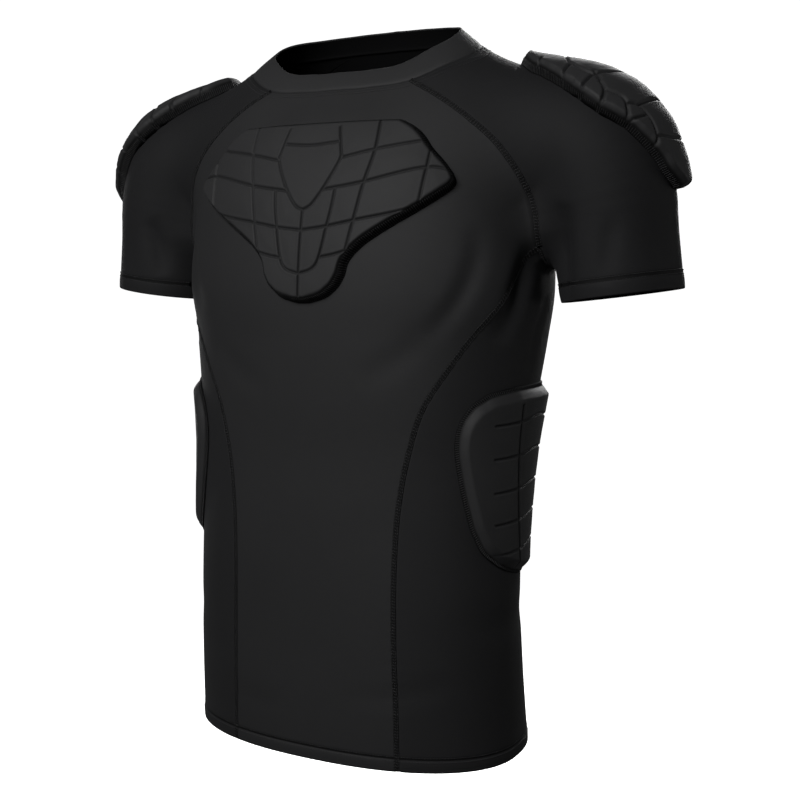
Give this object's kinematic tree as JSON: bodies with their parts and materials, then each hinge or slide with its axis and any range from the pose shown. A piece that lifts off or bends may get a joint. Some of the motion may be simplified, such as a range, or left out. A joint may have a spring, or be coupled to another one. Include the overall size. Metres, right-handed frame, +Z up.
{
  "type": "padded compression shirt",
  "caption": "Short-sleeved raglan compression shirt with foam pads on the chest, shoulders and ribs, hollow and filled out as when worn.",
  "frame": {"origin": "centre of the neck at the height of the shoulder points, where the wearer carries the shirt", "axes": "+Z up, the front faces -Y, the wearer's left is +X"},
  "size_m": [0.6272, 0.257, 0.6984],
  "materials": {
    "knit": "smooth matt black elastic knit with a soft sheen",
    "side_knit": "matt black elastic knit, a shade darker",
    "pad_skin": "black knit bonded on moulded foam, with pressed grooves"
  },
  "bodies": {
    "root": {"front": "knit", "back": "knit", "side_left": "side_knit", "side_right": "side_knit", "sleeve_left": "knit", "sleeve_right": "knit", "neckband": "knit", "chest_pad": "pad_skin", "shoulder_pad_left": "pad_skin", "shoulder_pad_right": "pad_skin", "rib_pad_left": "pad_skin", "rib_pad_right": "pad_skin"}
  },
  "joints": []
}
